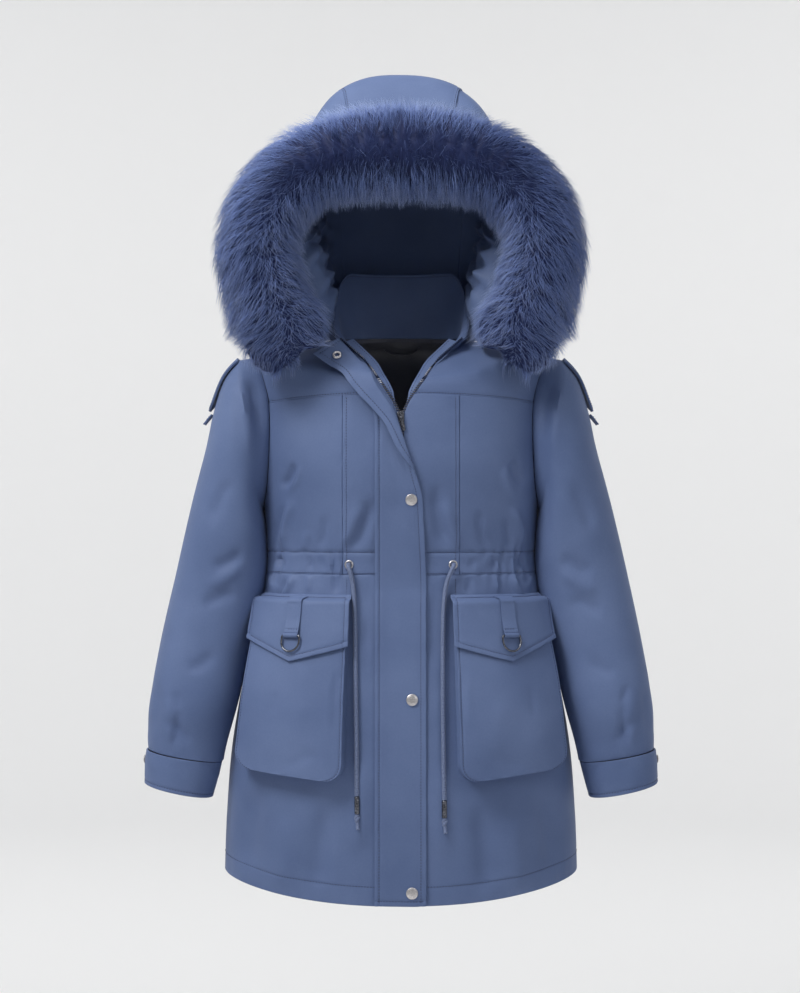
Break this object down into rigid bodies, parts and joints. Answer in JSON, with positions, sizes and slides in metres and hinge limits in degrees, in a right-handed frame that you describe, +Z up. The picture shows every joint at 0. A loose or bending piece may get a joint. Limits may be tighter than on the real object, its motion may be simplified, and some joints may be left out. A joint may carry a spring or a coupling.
{
  "type": "fur trimmed parka",
  "caption": "Hip-length hooded parka in washed cotton with a faux-fur hood edge, a zip under a storm flap, a waist drawcord and flapped patch pockets.",
  "frame": {"origin": "the centre of the neck base, where the coat hangs on the shoulders of its wearer", "axes": "+Z up along the wearer, +X to the wearer's left, -Y to the front"},
  "size_m": [0.7038, 0.3349, 1.1304],
  "materials": {
    "shell_cloth": "washed cotton twill, matt, softly creased",
    "pocket_cloth": "the same washed cotton twill",
    "lining_cloth": "plain woven black lining with a slight sheen",
    "dyed_fur": "dyed faux fur with guard hairs of 30 to 60 mm",
    "cord_braid": "braided cord",
    "satin_nickel": "satin nickel plating on brass",
    "gunmetal": "dark nickel plating",
    "zip_tape": "herringbone woven zip tape"
  },
  "bodies": {
    "root": {"back": "shell_cloth", "back_yoke": "shell_cloth", "collar": "shell_cloth", "cord_barrel_l": "gunmetal", "cord_barrel_r": "gunmetal", "cord_knot_l": "cord_braid", "cord_knot_r": "cord_braid", "cord_l": "cord_braid", "cord_r": "cord_braid", "cuff_l": "shell_cloth", "cuff_r": "shell_cloth", "cuff_snap_l": "satin_nickel", "cuff_snap_r": "satin_nickel", "eyelet_l": "satin_nickel", "eyelet_r": "satin_nickel", "front_centre_l": "shell_cloth", "front_centre_r": "shell_cloth", "front_side_l": "shell_cloth", "front_side_r": "shell_cloth", "fur_trim": "dyed_fur", "hanger_loop": "lining_cloth", "hood_centre": "shell_cloth", "hood_side_l": "shell_cloth", "hood_side_r": "shell_cloth", "lining_back": "lining_cloth", "pocket_bag_l": "pocket_cloth", "pocket_bag_r": "pocket_cloth", "pocket_flap_l": "pocket_cloth", "pocket_flap_r": "pocket_cloth", "pocket_gusset_l": "pocket_cloth", "pocket_gusset_r": "pocket_cloth", "pocket_tab_l": "pocket_cloth", "pocket_tab_r": "pocket_cloth", "skirt_back": "shell_cloth", "skirt_front_l": "shell_cloth", "skirt_front_r": "shell_cloth", "sleeve_l": "shell_cloth", "sleeve_r": "shell_cloth", "sleeve_strap_l": "shell_cloth", "sleeve_strap_r": "shell_cloth", "snap_1": "satin_nickel", "snap_2": "satin_nickel", "snap_3": "satin_nickel", "snap_socket": "satin_nickel", "storm_flap": "shell_cloth", "strap_tab_l": "shell_cloth", "strap_tab_r": "shell_cloth", "yoke_front_l": "shell_cloth", "yoke_front_r": "shell_cloth", "zip_slider": "gunmetal", "zip_tape_l": "zip_tape", "zip_tape_r": "zip_tape"},
    "zip_pull": {"zip_pull": "gunmetal"},
    "d_ring_l": {"d_ring_l": "gunmetal"},
    "d_ring_r": {"d_ring_r": "gunmetal"}
  },
  "joints": [
    {"name": "zip_pull_swing", "type": "hinge", "parent": "root", "child": "zip_pull", "pos_m": [0.00042, -0.12848, -0.11796], "axis": [-0.9781, 0, -0.2079], "range_deg": [0, 150]},
    {"name": "d_ring_l_swing", "type": "hinge", "parent": "root", "child": "d_ring_l", "pos_m": [0.14557, -0.1224, -0.40522], "axis": [-0.8985, -0.4389, 0.011], "range_deg": [0, 150]},
    {"name": "d_ring_r_swing", "type": "hinge", "parent": "root", "child": "d_ring_r", "pos_m": [-0.14557, -0.1224, -0.40522], "axis": [-0.8985, 0.4389, 0.011], "range_deg": [0, 150]}
  ]
}
